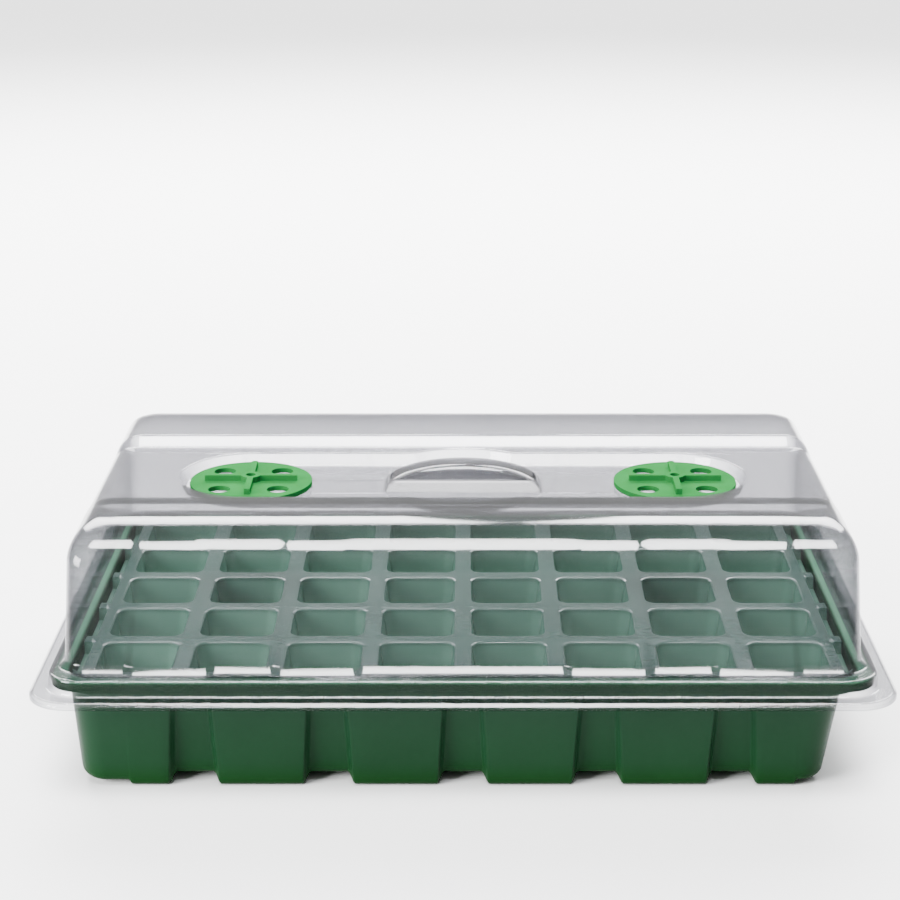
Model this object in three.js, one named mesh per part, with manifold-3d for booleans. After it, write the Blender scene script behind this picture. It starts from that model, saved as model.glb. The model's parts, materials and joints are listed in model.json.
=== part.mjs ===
// A seed propagator: a fluted base tray on moulded feet, a sheet of forty planting cells, a clear
// humidity dome with a moulded finger handle, and two vents that turn in the top of the dome.
// Millimetres, +Z up. X runs along the tray and +Y to its back. The origin lies on the ground,
// under the middle of the tray.

import * as THREE from "three";
import { mergeVertices } from "three/addons/utils/BufferGeometryUtils.js";
import Module from "manifold-3d";

const wasm = await Module();
wasm.setup();

// ---------- driving dimensions ----------

const ARC_STEPS = 3; // half the number of facets in a rounded corner
const CELL_ARC_STEPS = 1; // the same for the small corners of the cells
const DISC_FACETS = 48;
const HUB_FACETS = 24;
const HOLE_FACETS = 16;
const HANDLE_FACETS = 12; // along each half of the handle's arch
const OVERSHOOT = 1; // how far a cutter runs past the face it cuts
const FAR = 300; // beyond every face of the object

// planting cells
const CELL_COLUMNS = 8;
const CELL_ROWS = 5;
const CELL_PITCH = 43.75;
const CELL_MOUTH = 35;
const CELL_BASE = 19.6;
const CELL_MOUTH_CORNER = 5.5;
const CELL_BASE_CORNER = 3.5;
const SHEET_WALL = 1;
const SHEET_TOP_Z = 57.7;
const CELL_BOTTOM_Z = 7;
const SHEET_HALF_X = 181;
const SHEET_HALF_Y = 111.5;
const SHEET_CORNER = 12.2;
const CELL_GAP = 0.3; // between the lips of neighbouring cells
const LIP_CORNER = 0.5;

// base tray
const TRAY_WALL = 1.5;
const RIM_HALF_X = 190;
const RIM_HALF_Y = 120;
const RIM_CORNER = 14;
const RIM_TOP_Z = 58;
const RIM_LIP_Z = 53.5;
const THROAT_HALF_X = 183.2;
const THROAT_HALF_Y = 113.5;
const THROAT_Z = 49.5;
const BODY_TOP = { z: 48, left: 183.1, right: 176.6, halfY: 111.8, corner: 14 };
const BODY_LOW = { z: 6.5, left: 180.6, right: 170.6, halfY: 107.6, corner: 13 };
const BODY_CORNER_FLOOR = { z: 2.4, left: 173, right: 165, halfY: 105.6, corner: 12 };
const BODY_STEP = { z: 2, left: 161, right: 160, halfY: 105, corner: 11 };
const BODY_FOOT = { z: 0, left: 158, right: 158, halfY: 103, corner: 10 };
const FLUTE_PITCH = 63;
const FLUTE_WIDTH = 21;
const FLUTE_DEPTH = 5;
const CHANNEL_Z = 4; // height of the channels that part the feet
const FLUTES_ALONG_X = [-2, -1, 0, 1, 2];
const FLUTES_ALONG_Y = [-1, 0, 1];

// dome
const DOME_WALL = 1.2;
const DOME_SEAT_Z = 58.3; // underside of the ledge that rests on the rim
const DOME_SECTIONS = [
  { z: DOME_SEAT_Z, halfX: 184.5, halfY: 109.5, corner: 10 },
  { z: 104, halfX: 182.1, halfY: 105.2, corner: 9.5 },
  { z: 111, halfX: 181, halfY: 103.5, corner: 9.5 },
  { z: 116.5, halfX: 178.5, halfY: 100.8, corner: 9.5 },
  { z: 121, halfX: 174.5, halfY: 96, corner: 9 },
  { z: 123.6, halfX: 169, halfY: 90, corner: 8 },
  { z: 124.5, halfX: 163, halfY: 84, corner: 7 },
];
const SKIRT_GAP = 0.4;
const FLANGE_Z = 50.5;
const FLANGE_LIP_Z = 48.5;
const FLANGE_HALF_X = 200;
const FLANGE_HALF_Y = 129.5;
const FLANGE_CORNER = 20;
const VALLEY_HALF_Y = 48;
const VALLEY_Z = 119.6;
const RECESS_FLOOR_Z = 113.6;
const RECESS_HALF_X = 140;
const RECESS_HALF_Y = 34.5;
const RECESS_MIDDLE_R = 42.5;
const RECESS_END_EASE = 0.01; // keeps a sliver of straight end on the recess
const HANDLE_HALF_X = 38.8;
const HANDLE_TOP_Z = 126.5;
const HANDLE_THICKNESS = 16;
const PILASTER_X = [67, 135];
const PILASTER_HALF_FOOT = 19;
const PILASTER_HALF_TOP = 14.3;
const PILASTER_RELIEF = 2.4;
const PILASTER_DEPTH = 7.4;
const PILASTER_CORNER = 1;
const PILASTER_TOP_Z = 115;
const PILASTER_TOP_HALF_Y = 100.8;
// the dome is one sheet; its nodes part along these lines, so that collision stays hollow
const SEAM = 0.3;
const WALL_SEAM_X = 164;
const WALL_SEAM_Z = 104;
const CAP_SEAM_X = 160;
const DECK_SEAM_Y = 46;
const MIDDLE_SEAM_X = 45;
const HANDLE_SEAM_Y = 8.8;

// vents
const VENT_X = 106;
const VENT_R = 30.5;
const VENT_THICKNESS = 2.5;
const VENT_GAP = 0.3;
const VENT_HOLE_R = 5;
const VENT_HOLE_OFFSET = 14.5;
const VENT_ARM_LENGTH = 46;
const VENT_ARM_WIDTH = 3;
const VENT_ARM_HEIGHT = 3;
const VENT_HUB_R = 5;
const VENT_BORE_R = 2.4;
const VENT_STEM_R = 4;
const VENT_STEM_HOLE_R = 4.4;
const VENT_SNAP_R = 5.4;
const VENT_SNAP_HEIGHT = 1.6;

// ---------- materials ----------

const trayPlastic = new THREE.MeshStandardMaterial({ color: 0x2c5a3a, roughness: 0.45, metalness: 0 });
const sheetPlastic = new THREE.MeshStandardMaterial({ color: 0x5f7a70, roughness: 0.4, metalness: 0 });
const clearPlastic = new THREE.MeshStandardMaterial({
  color: 0xdfe2e4,
  roughness: 0.08,
  metalness: 0,
  transparent: true,
  opacity: 0.3,
});
const ventPlastic = new THREE.MeshStandardMaterial({ color: 0x69b581, roughness: 0.4, metalness: 0 });

// ---------- shape helpers ----------

// A closed geometry as a solid that can be joined and cut.
function solid(geometry) {
  const bare = geometry.clone();
  bare.deleteAttribute("normal");
  bare.deleteAttribute("uv");
  const merged = mergeVertices(bare, 1e-4);
  return new wasm.Manifold(
    new wasm.Mesh({
      numProp: 3,
      vertProperties: merged.attributes.position.array,
      triVerts: new Uint32Array(merged.index.array),
    }),
  );
}

// A named mesh from a finished solid.
function meshOf(name, body, material) {
  const data = body.getMesh();
  const geometry = new THREE.BufferGeometry();
  const positions = new Float32Array(data.vertProperties);
  geometry.setAttribute("position", new THREE.BufferAttribute(positions, 3));
  geometry.setIndex(new THREE.BufferAttribute(new Uint32Array(data.triVerts), 1));
  geometry.computeVertexNormals();
  const mesh = new THREE.Mesh(geometry, material);
  mesh.name = name;
  return mesh;
}

// The outline that every rounded box starts from: corner centres at (+-1, +-1), corner radius 1.
function cornerOutline() {
  const outline = new THREE.Shape();
  outline.absarc(1, 1, 1, 0, Math.PI / 2);
  outline.absarc(-1, 1, 1, Math.PI / 2, Math.PI);
  outline.absarc(-1, -1, 1, Math.PI, 1.5 * Math.PI);
  outline.absarc(1, -1, 1, 1.5 * Math.PI, 2 * Math.PI);
  outline.closePath();
  return outline;
}

// A solid through rounded rectangles at rising heights. A section gives its left, right, front and
// back edges as positions, and its corner radius.
function loft(sections, arcSteps = ARC_STEPS) {
  const geometry = new THREE.ExtrudeGeometry(cornerOutline(), {
    depth: sections.length - 1,
    steps: sections.length - 1,
    bevelEnabled: false,
    curveSegments: arcSteps,
  });
  const position = geometry.attributes.position;
  for (let i = 0; i < position.count; i += 1) {
    const { z, x0, x1, y0, y1, corner } = sections[Math.round(position.getZ(i))];
    const sideX = Math.sign(position.getX(i));
    const sideY = Math.sign(position.getY(i));
    const centreX = sideX > 0 ? x1 - corner : x0 + corner;
    const centreY = sideY > 0 ? y1 - corner : y0 + corner;
    const x = centreX + (position.getX(i) - sideX) * corner;
    const y = centreY + (position.getY(i) - sideY) * corner;
    position.setXYZ(i, x, y, z);
  }
  return solid(geometry);
}

// A section centred on the origin.
function centred(z, halfX, halfY, corner) {
  return { z, x0: -halfX, x1: halfX, y0: -halfY, y1: halfY, corner };
}

// A straight rounded slab centred on the origin.
function slab(halfX, halfY, corner, z0, z1) {
  return loft([centred(z0, halfX, halfY, corner), centred(z1, halfX, halfY, corner)]);
}

function boxBetween(x0, x1, y0, y1, z0, z1) {
  const geometry = new THREE.BoxGeometry(x1 - x0, y1 - y0, z1 - z0);
  geometry.translate((x0 + x1) / 2, (y0 + y1) / 2, (z0 + z1) / 2);
  return solid(geometry);
}

// An upright cylinder.
function post(radius, z0, z1, x, y, facets) {
  const geometry = new THREE.CylinderGeometry(radius, radius, z1 - z0, facets);
  geometry.rotateX(Math.PI / 2);
  geometry.translate(x, y, (z0 + z1) / 2);
  return solid(geometry);
}

function union(bodies) {
  return bodies.reduce((joined, body) => joined.add(body));
}

// ---------- base tray ----------

// The tray's body from its feet to its throat, shrunk by a wall. lift raises the floor.
function trayBody(wall, lift, topZ) {
  const lower = [BODY_FOOT, BODY_STEP, BODY_CORNER_FLOOR, BODY_LOW, BODY_TOP].map((s) => ({
    z: s.z + lift,
    x0: -s.left + wall,
    x1: s.right - wall,
    y0: -s.halfY + wall,
    y1: s.halfY - wall,
    corner: s.corner - wall,
  }));
  const throatX = THROAT_HALF_X - wall;
  const throatY = THROAT_HALF_Y - wall;
  const throatCorner = RIM_CORNER - wall;
  return loft([
    ...lower,
    centred(THROAT_Z + lift, throatX, throatY, throatCorner),
    centred(topZ, throatX, throatY, throatCorner),
  ]);
}

// What stands behind the flutes of the front, back and left walls, and above the channels.
function trayCore(wall, floorZ) {
  const inset = wall + FLUTE_DEPTH;
  const at = (s, z) => ({
    z,
    x0: -s.left + inset,
    x1: s.right + FLUTE_WIDTH,
    y0: -s.halfY + inset,
    y1: s.halfY - inset,
    corner: s.corner - wall,
  });
  return loft([at(BODY_LOW, floorZ), at(BODY_TOP, BODY_TOP.z), at(BODY_TOP, RIM_TOP_Z)]);
}

// The flutes and channels as bands through the whole tray, grown by a wall.
function fluteBands(grow) {
  const half = FLUTE_WIDTH / 2 + grow;
  const reach = RIM_HALF_X;
  const top = BODY_TOP.z;
  const acrossX = FLUTES_ALONG_X.map((k) => {
    const middle = k * FLUTE_PITCH;
    return boxBetween(middle - half, middle + half, -reach, reach, -OVERSHOOT, top);
  });
  const acrossY = FLUTES_ALONG_Y.map((k) => {
    const middle = k * FLUTE_PITCH;
    return boxBetween(-reach, reach, middle - half, middle + half, -OVERSHOOT, top);
  });
  return union([...acrossX, ...acrossY]);
}

function baseTray() {
  const outside = trayBody(0, 0, RIM_TOP_Z).subtract(fluteBands(0).subtract(trayCore(0, CHANNEL_Z)));
  const insideCore = trayCore(TRAY_WALL, CHANNEL_Z + TRAY_WALL);
  const inside = trayBody(TRAY_WALL, TRAY_WALL, RIM_TOP_Z + OVERSHOOT).subtract(
    fluteBands(TRAY_WALL).subtract(insideCore),
  );
  const rim = slab(RIM_HALF_X, RIM_HALF_Y, RIM_CORNER, RIM_LIP_Z, RIM_TOP_Z).subtract(
    slab(
      RIM_HALF_X - TRAY_WALL,
      RIM_HALF_Y - TRAY_WALL,
      RIM_CORNER - TRAY_WALL,
      RIM_LIP_Z - OVERSHOOT,
      RIM_TOP_Z - TRAY_WALL,
    ),
  );
  return meshOf("base_tray", outside.add(rim).subtract(inside), trayPlastic);
}

// ---------- planting cells ----------

// One tapered cup with its share of the sheet's top. The outer rows' lips reach out to the rim.
function cell(column, row) {
  const x = (column - (CELL_COLUMNS - 1) / 2) * CELL_PITCH;
  const y = (row - (CELL_ROWS - 1) / 2) * CELL_PITCH;
  const near = (CELL_PITCH - CELL_GAP) / 2;
  const sheet = {
    x0: -SHEET_HALF_X - x,
    x1: SHEET_HALF_X - x,
    y0: -SHEET_HALF_Y - y,
    y1: SHEET_HALF_Y - y,
    corner: SHEET_CORNER,
  };
  const lip = {
    x0: column === 0 ? sheet.x0 : -near,
    x1: column === CELL_COLUMNS - 1 ? sheet.x1 : near,
    y0: row === 0 ? sheet.y0 : -near,
    y1: row === CELL_ROWS - 1 ? sheet.y1 : near,
    corner: LIP_CORNER,
  };
  const mouth = CELL_MOUTH / 2;
  const base = CELL_BASE / 2;
  const outerBase = base + SHEET_WALL;
  const outerMouth = mouth + SHEET_WALL;
  const outside = loft(
    [
      centred(CELL_BOTTOM_Z, outerBase, outerBase, CELL_BASE_CORNER + SHEET_WALL),
      centred(SHEET_TOP_Z, outerMouth, outerMouth, CELL_MOUTH_CORNER + SHEET_WALL),
    ],
    CELL_ARC_STEPS,
  );
  const upright = (section) =>
    loft(
      [
        { ...section, z: SHEET_TOP_Z - SHEET_WALL },
        { ...section, z: SHEET_TOP_Z },
      ],
      CELL_ARC_STEPS,
    );
  const top = upright(lip).intersect(upright(sheet));
  const inside = loft(
    [
      centred(CELL_BOTTOM_Z + SHEET_WALL, base, base, CELL_BASE_CORNER),
      centred(SHEET_TOP_Z, mouth, mouth, CELL_MOUTH_CORNER),
      centred(SHEET_TOP_Z + OVERSHOOT, mouth, mouth, CELL_MOUTH_CORNER),
    ],
    CELL_ARC_STEPS,
  );
  const cup = outside.add(top).subtract(inside);
  const mesh = meshOf(`cell_r${row + 1}_c${column + 1}`, cup, sheetPlastic);
  mesh.position.set(x, y, 0);
  return mesh;
}

// ---------- dome ----------

// The dome's main body, shrunk by a wall.
function domeBody(wall) {
  return loft(
    DOME_SECTIONS.map((s) =>
      centred(s.z - wall, s.halfX - wall, s.halfY - wall, s.corner - wall),
    ),
  );
}

// The raised panels of the front and back walls, shrunk by a wall.
function pilasters(wall) {
  const [foot, shoulder] = DOME_SECTIONS;
  const bodies = [];
  for (const side of [-1, 1]) {
    for (const middle of PILASTER_X) {
      for (const face of [-1, 1]) {
        const at = (z, half, outer) => {
          const front = face * (outer - wall);
          const back = face * (outer - PILASTER_DEPTH);
          return {
            z,
            x0: side * middle - half + wall,
            x1: side * middle + half - wall,
            y0: Math.min(front, back),
            y1: Math.max(front, back),
            corner: PILASTER_CORNER,
          };
        };
        bodies.push(
          loft([
            at(foot.z + DOME_WALL / 2, PILASTER_HALF_FOOT, foot.halfY + PILASTER_RELIEF),
            at(shoulder.z, PILASTER_HALF_TOP, shoulder.halfY + PILASTER_RELIEF),
            at(PILASTER_TOP_Z, PILASTER_HALF_TOP, PILASTER_TOP_HALF_Y),
          ]),
        );
      }
    }
  }
  return union(bodies);
}

// The valley along the top, the long recess in it and the round widening in the middle.
function topHollows(wall) {
  const edge = VALLEY_HALF_Y + wall;
  const valley = boxBetween(-FAR, FAR, -edge, edge, VALLEY_Z - wall, FAR);
  const floorZ = RECESS_FLOOR_Z - wall;
  const recessHalfY = RECESS_HALF_Y + wall;
  const recessCorner = recessHalfY - RECESS_END_EASE;
  const recess = slab(RECESS_HALF_X + wall, recessHalfY, recessCorner, floorZ, FAR);
  const middle = post(RECESS_MIDDLE_R + wall, floorZ, FAR, 0, 0, DISC_FACETS);
  return union([valley, recess, middle]);
}

// The finger handle: an upright half ellipse across the recess, shrunk by a wall.
function handle(wall) {
  const outline = new THREE.Shape();
  const rise = HANDLE_TOP_Z - RECESS_FLOOR_Z;
  outline.moveTo(-HANDLE_HALF_X + wall, -2 * DOME_WALL);
  outline.lineTo(HANDLE_HALF_X - wall, -2 * DOME_WALL);
  outline.absellipse(0, 0, HANDLE_HALF_X - wall, rise - wall, 0, Math.PI);
  outline.closePath();
  const thickness = HANDLE_THICKNESS - 2 * wall;
  const geometry = new THREE.ExtrudeGeometry(outline, {
    depth: thickness,
    bevelEnabled: false,
    curveSegments: HANDLE_FACETS,
  });
  geometry.rotateX(Math.PI / 2);
  geometry.translate(0, thickness / 2, RECESS_FLOOR_Z);
  return solid(geometry);
}

function ventHolePlaces() {
  const places = [];
  for (const x of [-VENT_HOLE_OFFSET, VENT_HOLE_OFFSET]) {
    for (const y of [-VENT_HOLE_OFFSET, VENT_HOLE_OFFSET]) {
      places.push([x, y]);
    }
  }
  return places;
}

// The holes under both vents: four air holes and one for the vent's stem.
function domeHoles() {
  const z0 = RECESS_FLOOR_Z - 3 * DOME_WALL;
  const z1 = RECESS_FLOOR_Z + DOME_WALL;
  const bodies = [];
  for (const middle of [-VENT_X, VENT_X]) {
    bodies.push(post(VENT_STEM_HOLE_R, z0, z1, middle, 0, HUB_FACETS));
    for (const [x, y] of ventHolePlaces()) {
      bodies.push(post(VENT_HOLE_R, z0, z1, middle + x, y, HOLE_FACETS));
    }
  }
  return union(bodies);
}

// The whole clear sheet.
function domeSheet() {
  const ledgeTop = DOME_SEAT_Z + DOME_WALL;
  const skirtX = RIM_HALF_X + SKIRT_GAP;
  const skirtY = RIM_HALF_Y + SKIRT_GAP;
  const skirtCorner = RIM_CORNER + SKIRT_GAP;
  const lowZ = FLANGE_LIP_Z - OVERSHOOT;
  const outside = domeBody(0)
    .add(pilasters(0))
    .subtract(topHollows(0))
    .add(handle(0))
    .add(
      slab(skirtX + DOME_WALL, skirtY + DOME_WALL, skirtCorner + DOME_WALL, FLANGE_Z, ledgeTop),
    )
    .add(
      slab(FLANGE_HALF_X, FLANGE_HALF_Y, FLANGE_CORNER, FLANGE_LIP_Z, FLANGE_Z + DOME_WALL),
    );
  const inside = domeBody(DOME_WALL)
    .add(pilasters(DOME_WALL))
    .subtract(topHollows(DOME_WALL))
    .add(handle(DOME_WALL))
    .add(slab(skirtX, skirtY, skirtCorner, lowZ, DOME_SEAT_Z))
    .add(
      slab(
        FLANGE_HALF_X - DOME_WALL,
        FLANGE_HALF_Y - DOME_WALL,
        FLANGE_CORNER - DOME_WALL,
        lowZ,
        FLANGE_Z,
      ),
    );
  return outside.subtract(inside).subtract(domeHoles());
}

// The sheet's nodes: each is what a box cuts out of it, half a seam short of its neighbours.
function domeNodes() {
  const sheet = domeSheet();
  const walls = [-FAR, WALL_SEAM_Z];
  const top = [WALL_SEAM_Z, FAR];
  const acrossWalls = [-WALL_SEAM_X, WALL_SEAM_X];
  const acrossTop = [-CAP_SEAM_X, CAP_SEAM_X];
  const acrossMiddle = [-MIDDLE_SEAM_X, MIDDLE_SEAM_X];
  const deck = [-DECK_SEAM_Y, DECK_SEAM_Y];
  const everywhere = [-FAR, FAR];
  const places = {
    dome_front_wall: [acrossWalls, [-FAR, 0], walls],
    dome_back_wall: [acrossWalls, [0, FAR], walls],
    dome_left_end: [[-FAR, -WALL_SEAM_X], everywhere, walls],
    dome_right_end: [[WALL_SEAM_X, FAR], everywhere, walls],
    dome_front_hump: [acrossTop, [-FAR, -DECK_SEAM_Y], top],
    dome_back_hump: [acrossTop, [DECK_SEAM_Y, FAR], top],
    dome_left_cap: [[-FAR, -CAP_SEAM_X], everywhere, top],
    dome_right_cap: [[CAP_SEAM_X, FAR], everywhere, top],
    dome_left_deck: [[-CAP_SEAM_X, -MIDDLE_SEAM_X], deck, top],
    dome_right_deck: [[MIDDLE_SEAM_X, CAP_SEAM_X], deck, top],
    dome_front_deck: [acrossMiddle, [-DECK_SEAM_Y, -HANDLE_SEAM_Y], top],
    dome_back_deck: [acrossMiddle, [HANDLE_SEAM_Y, DECK_SEAM_Y], top],
    dome_handle: [acrossMiddle, [-HANDLE_SEAM_Y, HANDLE_SEAM_Y], top],
  };
  const half = SEAM / 2;
  return Object.entries(places).map(([name, [xs, ys, zs]]) => {
    const sides = [xs, ys, zs].flatMap(([low, high]) => [low + half, high - half]);
    return meshOf(name, sheet.intersect(boxBetween(...sides)), clearPlastic);
  });
}

// ---------- vents ----------

// A disc with four air holes, a cross to turn it by, and a hollow stem that snaps through the dome.
function vent(name, x) {
  const discZ = RECESS_FLOOR_Z + VENT_GAP;
  const topZ = discZ + VENT_THICKNESS;
  const crossZ = topZ + VENT_ARM_HEIGHT;
  const snapTopZ = RECESS_FLOOR_Z - DOME_WALL - VENT_GAP;
  const snapZ = snapTopZ - VENT_SNAP_HEIGHT;
  const arm = VENT_ARM_LENGTH / 2;
  const half = VENT_ARM_WIDTH / 2;
  const root = topZ - OVERSHOOT;
  const whole = union([
    post(VENT_R, discZ, topZ, 0, 0, DISC_FACETS),
    boxBetween(-arm, arm, -half, half, root, crossZ),
    boxBetween(-half, half, -arm, arm, root, crossZ),
    post(VENT_HUB_R, root, crossZ, 0, 0, HUB_FACETS),
    post(VENT_STEM_R, snapZ, discZ + OVERSHOOT, 0, 0, HUB_FACETS),
    post(VENT_SNAP_R, snapZ, snapTopZ, 0, 0, HUB_FACETS),
  ]);
  const lowZ = discZ - OVERSHOOT;
  const highZ = topZ + OVERSHOOT;
  const holes = ventHolePlaces().map(([hx, hy]) =>
    post(VENT_HOLE_R, lowZ, highZ, hx, hy, HOLE_FACETS),
  );
  const bore = post(VENT_BORE_R, snapZ - OVERSHOOT, crossZ + OVERSHOOT, 0, 0, HOLE_FACETS);
  const mesh = meshOf(name, whole.subtract(union([...holes, bore])), ventPlastic);
  mesh.position.set(x, 0, 0);
  return mesh;
}

// ---------- assembly ----------

const propagator = new THREE.Group();
const cellSheet = new THREE.Group();
const lid = new THREE.Group();

for (let row = 0; row < CELL_ROWS; row += 1) {
  for (let column = 0; column < CELL_COLUMNS; column += 1) {
    cellSheet.add(cell(column, row));
  }
}
lid.add(...domeNodes(), vent("vent_left", -VENT_X), vent("vent_right", VENT_X));
propagator.add(baseTray(), cellSheet, lid);

export default propagator;
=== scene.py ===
# The looks of the seed propagator: a fluted green tray, a translucent sheet of planting cells, a
# clear dome and two turning vents. Metres, +Z up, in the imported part's own frame.
import json
import math

import bpy
import numpy as np
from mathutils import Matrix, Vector
from mathutils.geometry import tessellate_polygon


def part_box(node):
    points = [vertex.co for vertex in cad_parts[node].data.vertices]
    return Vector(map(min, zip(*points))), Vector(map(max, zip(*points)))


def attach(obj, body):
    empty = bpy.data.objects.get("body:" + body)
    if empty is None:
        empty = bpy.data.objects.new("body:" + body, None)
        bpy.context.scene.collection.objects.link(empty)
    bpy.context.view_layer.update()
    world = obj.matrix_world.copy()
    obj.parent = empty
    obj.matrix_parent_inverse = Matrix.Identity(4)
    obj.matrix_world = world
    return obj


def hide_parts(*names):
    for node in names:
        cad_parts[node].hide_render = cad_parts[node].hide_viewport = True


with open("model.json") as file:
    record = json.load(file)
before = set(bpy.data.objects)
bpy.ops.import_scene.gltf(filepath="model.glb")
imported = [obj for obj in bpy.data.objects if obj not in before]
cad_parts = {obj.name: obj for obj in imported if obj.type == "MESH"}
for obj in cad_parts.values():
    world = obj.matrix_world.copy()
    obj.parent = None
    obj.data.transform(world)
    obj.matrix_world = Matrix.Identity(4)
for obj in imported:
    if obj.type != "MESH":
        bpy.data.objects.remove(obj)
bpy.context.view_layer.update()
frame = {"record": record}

MM = 0.001
SQUARE_ON = 0.999  # how far a point's facing goes to one side, where no corner turns it
WELD = 2e-6  # points nearer than this are one

# ---------- sizes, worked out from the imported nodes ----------

bodies = frame["record"]["behaviour"]["bodies"]
DOME_NODES = bodies["lid"]
CELL_NODES = bodies["cell_sheet"]


def box_of(nodes):
    """The box round several nodes."""
    boxes = [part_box(node) for node in nodes]
    low = Vector([min(pair[0][axis] for pair in boxes) for axis in range(3)])
    high = Vector([max(pair[1][axis] for pair in boxes) for axis in range(3)])
    return low, high


_, tray_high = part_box("base_tray")
dome_low, dome_high = box_of(DOME_NODES)
vent_low, vent_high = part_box("vent_left")
corner_cell_low, corner_cell_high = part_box("cell_r1_c1")

RIM_X = tray_high.x
RIM_Y = tray_high.y
RIM_Z = tray_high.z
FLANGE_X = dome_high.x
FLANGE_Y = dome_high.y
FLANGE_Z = dome_low.z
VENT_X = (vent_low.x + vent_high.x) / 2
VENT_R = (vent_high.x - vent_low.x) / 2
SHEET_X = -corner_cell_low.x
SHEET_Y = -corner_cell_low.y
SHEET_Z = corner_cell_high.z
CUP_FLOOR_Z = corner_cell_low.z
CELL_COLUMNS = 8
CELL_ROWS = 5
CELL_PITCH = 43.75 * MM

# the dome's flange, skirt and ledge
DOME_WALL = 0.9 * MM
FLANGE_CORNER = 20 * MM
FLANGE_LIP = 3.2 * MM
FLANGE_BEND = 1.9 * MM
SKIRT_GAP = 1.5 * MM  # out from the tray's rim
SKIRT_CORNER = 15.5 * MM
SKIRT_FILLET = 1.4 * MM
LEDGE_Z = 59.5 * MM
LEDGE_FILLET = 1.5 * MM

# its walls: half length and half depth at the foot and the top
WALL_FOOT = (184.5 * MM, 109.5 * MM)
WALL_TOP = (182.1 * MM, 105.2 * MM)
WALL_FOOT_FILLET = 3.4 * MM
WALL_CORNER = 10 * MM
WALL_CORNER_LOSS = 0.5 * MM  # up the wall
SHOULDER_CORNER_LOSS = 2 * MM  # and then over the shoulder
SHOULDER_X = 14 * MM  # how far the shoulder at each end reaches in
SHOULDER_Y = 26 * MM  # the front one
SHOULDER_BACK = 15 * MM  # and the back one
SHOULDER_RISE_X = 16 * MM  # and how far they rise, at the ends
SHOULDER_RISE_Y = 20 * MM  # and in front and behind
PILASTERS = [side * middle * MM for side in (-1, 1) for middle in (67, 135)]
PILASTER_FOOT = 19 * MM  # half widths
PILASTER_TOP = 14.3 * MM
PILASTER_RELIEF = 2.3 * MM
PILASTER_EDGE = 5.4 * MM
PILASTER_FADE = 0.7  # of the relief, lost between the foot and the shoulder
PILASTER_END = 38  # degrees round the shoulder, where what is left of it starts to go
PILASTER_END_RUN = 34

# its top: the valley between the humps, the recess in it, and the finger handle
HANDLE_ABOVE_HUMPS = 2.0 * MM
DOME_TOP_Z = dome_high.z - HANDLE_ABOVE_HUMPS
VALLEY_HALF = 48.3 * MM
VALLEY_EDGE = 6 * MM
VALLEY_DROP = 4.8 * MM
RECESS_X = 140 * MM
RECESS_Y = 34.5 * MM
RECESS_R = 42.5 * MM  # of its round middle
RECESS_FILLET = 7 * MM
RECESS_FLOOR_Z = 113.6 * MM
RECESS_SLOPE = 3.4 * MM
HANDLE_X = 38.8 * MM
HANDLE_RISE = dome_high.z - RECESS_FLOOR_Z
HANDLE_FOOT = 10.1 * MM
HANDLE_HEAD = 5.2 * MM
HANDLE_EDGE = 3.8 * MM
HOLE_OFFSET = 14.5 * MM
HOLE_R = 5 * MM
STEM_HOLE_R = 4.4 * MM

# ---------- mesh helpers ----------


def smooth(t):
    """0 below 0, 1 above 1, with a soft start and end."""
    t = np.clip(t, 0.0, 1.0)
    return t * t * (3 - 2 * t)


def plateau(x, middle, half, edge):
    """1 within half of middle, 0 from half + edge outwards."""
    return 1 - smooth((np.abs(np.asarray(x) - middle) - half) / edge)


def bevelled(t, rounding=0.25):
    """A straight climb from 0 to 1 with both of its ends rounded."""

    def bend(u):
        inside = np.clip(u + rounding / 2, 0, rounding)
        return inside**2 / (2 * rounding) + np.maximum(u - rounding / 2, 0)

    return bend(t) - bend(t - 1)


# a chamfer with its ends rounded: shares of its size outwards and upwards
CHAMFER_START = [(1.0, 0.0), (0.86, 0.03), (0.76, 0.09)]
CHAMFER = CHAMFER_START + [(out, up) for up, out in CHAMFER_START[::-1]]
# where a bevelled climb needs points
BEVEL_STEPS = np.array([-0.125, -0.04, 0.04, 0.125, 0.5, 0.875, 0.96, 1.04, 1.125])


def span(low, high, count):
    return np.linspace(low, high, count)


class Skin:
    """One side of a thin sheet, gathered as points and faces, that closes into a shell."""

    def __init__(self):
        self.points = []
        self.faces = []
        self.count = 0

    def add(self, points):
        points = np.asarray(points, dtype=float)
        self.points.append(points)
        start = self.count
        self.count += len(points)
        return np.arange(start, self.count)

    def strip(self, lower, upper, closed):
        """Quads between two rows of point numbers."""
        last = len(lower) if closed else len(lower) - 1
        for i in range(last):
            j = (i + 1) % len(lower)
            self.faces.append((lower[i], lower[j], upper[j], upper[i]))

    def flat(self, outline, holes=()):
        """Fills a level outline with holes, its faces pointing up."""
        places = np.concatenate(self.points)
        loops = [list(outline)] + [list(hole) for hole in holes]
        numbers = [n for loop in loops for n in loop]
        corners = [[Vector((places[n][0], places[n][1], 0.0)) for n in loop] for loop in loops]
        for tri in tessellate_polygon(corners):
            a, b, c = (numbers[t] for t in tri)
            ab = places[b] - places[a]
            ac = places[c] - places[a]
            turn = ab[0] * ac[1] - ab[1] * ac[0]
            if abs(turn) < 1e-13:
                continue
            self.faces.append((a, b, c) if turn > 0 else (a, c, b))

    def welded(self):
        """Points and faces with the points that lie together joined."""
        places = np.concatenate(self.points)
        keys = np.round(places / WELD).astype(np.int64)
        _, first, owner = np.unique(keys, axis=0, return_index=True, return_inverse=True)
        owner = owner.reshape(-1)
        faces = []
        for face in self.faces:
            loop = []
            for n in face:
                number = int(owner[n])
                if number not in loop:
                    loop.append(number)
            if len(loop) > 2:
                faces.append(tuple(loop))
        return places[first], faces


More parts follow.
